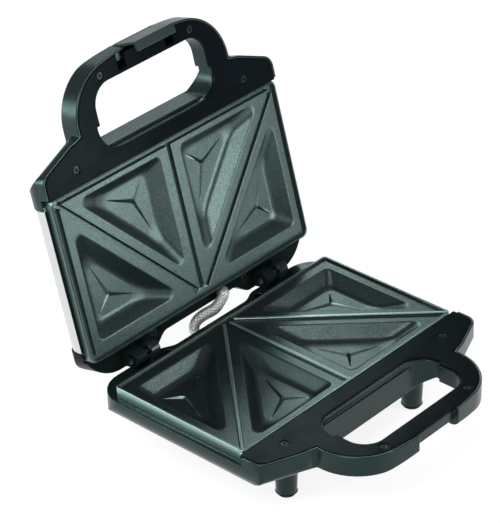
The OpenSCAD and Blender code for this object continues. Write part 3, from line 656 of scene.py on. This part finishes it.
def add_top(verts, faces, plate, lines, holes):
    """Adds the plate's top round its pockets."""
    inside, touching = 1, 1e-5
    out, _, tris, *_ = delaunay_2d_cdt([Vector(p) for p in lines.points], lines.edges, [],
                                       inside, touching)
    xy = np.array([tuple(p) for p in out])
    start = len(verts)
    verts.extend((x, y, z) for (x, y), z in zip(xy, plate_height(*xy.T, plate)))
    for tri in tris:
        middle = xy[list(tri)].mean(0)
        if not any(within(middle, hole) for hole in holes):
            faces.append(tuple(start + i for i in tri))


def within(p, ring):
    """Whether a point lies inside a convex ring, which runs either way round."""
    rounding = 1e-9
    a, b = ring, np.roll(ring, -1, 0)
    side = (b[:, 0] - a[:, 0]) * (p[1] - a[:, 1]) - (b[:, 1] - a[:, 1]) * (p[0] - a[:, 0])
    return bool(np.all(side > -rounding) or np.all(side < rounding))


def add_skirt(verts, faces, plate):
    """Adds the wall that goes down from the plate's edge."""
    edge = rounded_outline(plate.grow, 0.0)
    start, n = len(verts), len(edge)
    verts.extend((x, y, z) for (x, y), z in zip(edge, plate_height(*np.array(edge).T, plate)))
    verts.extend((x, y, plate.skirt) for x, y in edge)
    faces.extend((start + i, start + n + i, start + n + (i + 1) % n, start + (i + 1) % n)
                 for i in range(n))


def plate_mesh(plate):
    """Points and faces of a whole cooking surface with its skirt, in the hinge frame."""
    verts, faces, holes = [], [], []
    lines = fold_lines(plate)
    for corner, land in POCKETS:
        for side in (1, -1):
            rings, top = pocket(triangle(corner, land) * [side, 1])
            add_pocket(verts, faces, rings, top, plate.land)
            lines.loop(rings[0][0])
            holes.append(rings[0][0])
    add_top(verts, faces, plate, lines, holes)
    add_skirt(verts, faces, plate)
    return verts, faces


def make_plate(plate, node, material):
    """The cooking surface, a sheet that replaces the CAD plate, and its tabs."""
    verts, faces = plate_mesh(plate)
    up = Vector(np.subtract(*plate.to_row([(0, 0, 1), (0, 0, 0)])))
    piece(node + "_surface", plate.to_row(verts), faces, plate.body, "nonstick_plate", material,
          [node], SHEET, up)
    mirrored_boxes(node + "_tabs", TABS, plate.to_row, plate.body, "nonstick_plate", material)


# The base plate gets the coating with painted shade, and the lid's plate the one with painted light
make_plate(BASE_PLATE, "lower_plate", MATERIALS["nonstick_plate"])
make_plate(LID_PLATE, "upper_plate", MATERIALS["upper_nonstick_painted_light"])

# ---------------------------------------------------------------- casings
soften("base_shell", 0.0005)
soften("lid_front_frame", 0.0005)
# The lid's rear frame gets the darker copy of the casing plastic with painted shade
soften("lid_rear_frame", 0.0005, material=MATERIALS["painted_shade_plastic"])
soften("base_handle_panel", 0.0004)
soften("lid_handle_panel", 0.0004)
soften("latch_clip", 0.0004)
soften("legs", 0.0006)
soften("lid_cover", 0.00012, angle=40)
soften("foot_pads", 0.0004)


# Dark strips over the inner folds of the lid's steel, beside the plate, in the copy of the casing
# plastic with painted shade
SIDE_TRIM = ((112.3, 114.0), (-126.3, -20.2), (-7.9, -6.9))
mirrored_boxes("lid_side_trims", [SIDE_TRIM], to_lid, "lid", "casing_plastic",
               MATERIALS["painted_shade_plastic"])

# ---------------------------------------------------------------- braided sleeve
# Its middle line at rest, in the hinge frame, as in the CAD
ROUTE = [(-10, -5, -15), (-10, -1, -15), (-10, 3.6, -14.6), (-8.6, 7, -12.2), (-4.6, 8, -8.6),
         (1.5, 6.6, -5.8), (9, 3.3, -3.1), (14.6, 2.1, 1.3), (18.6, 2.3, 5.1), (20.6, 4.2, 5.9),
         (21, 7.2, 5.4), (21, 9.5, 4.77), (21, 12, 4.13)]
SLEEVE_R, SWELL = 3.6, 0.6  # radius at the ends, and how much thicker it is midway
YARNS, HALF_TURN = 16, 14.0  # yarns round the sleeve, and the length of half a turn of one
YARN_H, YARN_MEAN = 0.42, 0.7  # height of a yarn, and the mean share of it along the weave
SLEEVE_SIDES, SLEEVE_STEP, ROUTE_STEPS = 120, 0.28, 12


def smooth_route(points, n):
    """The same curve through the route's points as the CAD sleeve follows, in finer steps."""
    p = np.array(points, float)
    out = []
    for i in range(len(p) - 1):
        a, b, c, d = p[max(i - 1, 0)], p[i], p[i + 1], p[min(i + 2, len(p) - 1)]
        for k in range(n):
            t = k / n
            out.append(0.5 * (2 * b + (c - a) * t + (2 * a - 5 * b + 4 * c - d) * t * t
                              + (3 * b - a - 3 * c + d) * t**3))
    return np.array(out + [p[-1]])


def resample(points, step):
    """Points in even steps along a path, and their distances from its start."""
    d = np.concatenate([[0], np.cumsum(np.linalg.norm(np.diff(points, axis=0), axis=1))])
    at = np.linspace(0, d[-1], int(d[-1] / step) + 1)
    return np.stack([np.interp(at, d, points[:, k]) for k in range(3)], 1), at


def weave(a, twist):
    """Share of a yarn's height, where left-hand yarns pass over and under right-hand ones."""
    left = abs(math.sin(YARNS / 2 * (a + twist)))
    right = abs(math.sin(YARNS / 2 * (a - twist)))
    left_on_top = math.cos(YARNS / 2 * a) * math.cos(YARNS / 2 * twist) > 0
    return left if left_on_top else right


def make_sleeve():
    """A closed tube along the route, with the relief of its crossing yarns."""
    path, at = resample(smooth_route(ROUTE, ROUTE_STEPS), SLEEVE_STEP)
    n, sides = len(path), SLEEVE_SIDES
    verts, faces = [], []
    u = np.array([0.1, 0.2, 1.0])  # any direction off the path, which it follows without twist
    for i, p in enumerate(path):
        d = path[min(i + 1, n - 1)] - path[max(i - 1, 0)]
        d /= np.linalg.norm(d)
        u = u - (u @ d) * d
        u /= np.linalg.norm(u)
        v = np.cross(d, u)
        middle_r = SLEEVE_R + SWELL * math.sin(math.pi * i / (n - 1)) ** 4
        for k in range(sides):
            a = 2 * math.pi * k / sides
            r = middle_r + YARN_H * (weave(a, math.pi * at[i] / HALF_TURN) - YARN_MEAN)
            verts.append(p + r * (math.cos(a) * u + math.sin(a) * v))
    for start in range(0, (n - 1) * sides, sides):
        for k in range(sides):
            j = (k + 1) % sides
            faces.append((start + k, start + j, start + sides + j, start + sides + k))
    faces.append(tuple(range(sides - 1, -1, -1)))
    faces.append(tuple((n - 1) * sides + k for k in range(sides)))
    obj = piece("braided_sleeve", to_base(verts), faces, None, "braid", replaces=["heat_sleeve"])
    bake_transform(obj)


make_sleeve()

# ---------------------------------------------------------------- studio
WORLD_STRENGTH = 0.22
FLOOR_HALF = 12
FLOOR_COLOUR, FLOOR_ROUGHNESS, FLOOR_LEVEL = (0.82, 0.82, 0.82, 1), 0.9, 0.1
# What the camera, gloss and glass see of the floor: a pale glow that still takes shadows
FLOOR_GLOW, SHADOW_COLOUR = 0.86, (0.2, 0.2, 0.2, 1)
WHITE, PALE_TEAL, FAINT_TEAL, TEAL = (1, 1, 1), (0.84, 1, 0.98), (0.88, 1, 0.98), (0.72, 1, 0.98)
# Place, target, size, watts and colour of each lamp
LAMPS = {
    "key": ((-1.3, -0.5, 1.5), (0, 0, 0.12), (0.9, 0.9), 26, WHITE),
    "front": ((0.5, -1.7, 0.7), (0, 0, 0.12), (0.5, 1.0), 8, WHITE),
    "side": ((0.27, -0.37, 0.19), (-0.08, 0.1, 0.22), (0.1, 0.26), 0.75, WHITE),
    "left": ((-1.2, 1.0, 0.4), (0, 0, 0.12), (0.8, 0.5), 14, PALE_TEAL),
    "rim": ((1.0, 1.3, 1.3), (0, 0, 0.12), (0.9, 0.6), 11.5, FAINT_TEAL),
    "back": ((1.0, 1.3, 0.42), (0, 0.1, 0.2), (0.9, 0.35), 0.7, TEAL),
}


def make_lamp(name, location, target, size, power, colour):
    light = bpy.data.lights.new(name, "AREA")
    light.shape, light.size, light.size_y = "RECTANGLE", *size
    light.energy, light.color = power, colour
    obj = bpy.data.objects.new(name, light)
    obj.location = location
    obj.rotation_mode = "QUATERNION"
    obj.rotation_quaternion = (Vector(target) - Vector(location)).to_track_quat("-Z", "Y")
    bpy.context.scene.collection.objects.link(obj)


def seen_rays(tree):
    """1 for camera, glossy and transmission rays."""
    path = tree.nodes.new("ShaderNodeLightPath")
    out = path.outputs["Is Camera Ray"]
    for name in ("Is Glossy Ray", "Is Transmission Ray"):
        most = tree.nodes.new("ShaderNodeMath")
        most.operation = "MAXIMUM"
        tree.links.new(out, most.inputs[0])
        tree.links.new(path.outputs[name], most.inputs[1])
        out = most.outputs[0]
    return out


def make_world():
    world = bpy.data.worlds.new("studio")
    bpy.context.scene.world = world
    world.use_nodes = True
    back = world.node_tree.nodes["Background"]
    back.inputs["Color"].default_value = (1, 1, 1, 1)
    back.inputs["Strength"].default_value = WORLD_STRENGTH


def floor_material():
    material = bpy.data.materials.new("pale_floor")
    material.use_nodes = True
    tree = material.node_tree
    plain = tree.nodes["Principled BSDF"]
    plain.inputs["Base Color"].default_value = FLOOR_COLOUR
    plain.inputs["Roughness"].default_value = FLOOR_ROUGHNESS
    plain.inputs["Specular IOR Level"].default_value = FLOOR_LEVEL
    glow = tree.nodes.new("ShaderNodeEmission")
    glow.inputs["Strength"].default_value = FLOOR_GLOW
    soft = tree.nodes.new("ShaderNodeBsdfDiffuse")
    soft.inputs["Color"].default_value = SHADOW_COLOUR
    both = tree.nodes.new("ShaderNodeAddShader")
    tree.links.new(glow.outputs[0], both.inputs[0])
    tree.links.new(soft.outputs[0], both.inputs[1])
    mix = tree.nodes.new("ShaderNodeMixShader")
    tree.links.new(seen_rays(tree), mix.inputs[0])
    tree.links.new(plain.outputs[0], mix.inputs[1])
    tree.links.new(both.outputs[0], mix.inputs[2])
    tree.links.new(mix.outputs[0], tree.nodes["Material Output"].inputs["Surface"])
    return material


def make_floor():
    bm = bmesh.new()
    bmesh.ops.create_grid(bm, x_segments=2, y_segments=2, size=FLOOR_HALF)
    mesh = to_mesh(bm, "floor")
    mesh.materials.append(floor_material())
    floor = bpy.data.objects.new("floor", mesh)
    bpy.context.scene.collection.objects.link(floor)


make_world()
make_floor()
for lamp, settings in LAMPS.items():
    make_lamp(lamp, *settings)

# ---------------------------------------------------------------- camera
# Fitted to points of the photograph: metres, and degrees of pitch, roll and heading
CAMERA_PLACE = (-1.12451, -1.01358, 1.07167)
CAMERA_TURN = (58.0894, 1.4489, -48.0445)

camera = bpy.data.cameras.new("camera")
camera.sensor_width = 36
camera.lens = 179.968
camera.clip_start, camera.clip_end = 0.05, 20
view = bpy.data.objects.new("camera", camera)
view.location = CAMERA_PLACE
view.rotation_euler = [math.radians(a) for a in CAMERA_TURN]
bpy.context.scene.collection.objects.link(view)
bpy.context.scene.camera = view
bpy.context.scene.view_settings.view_transform = "Standard"
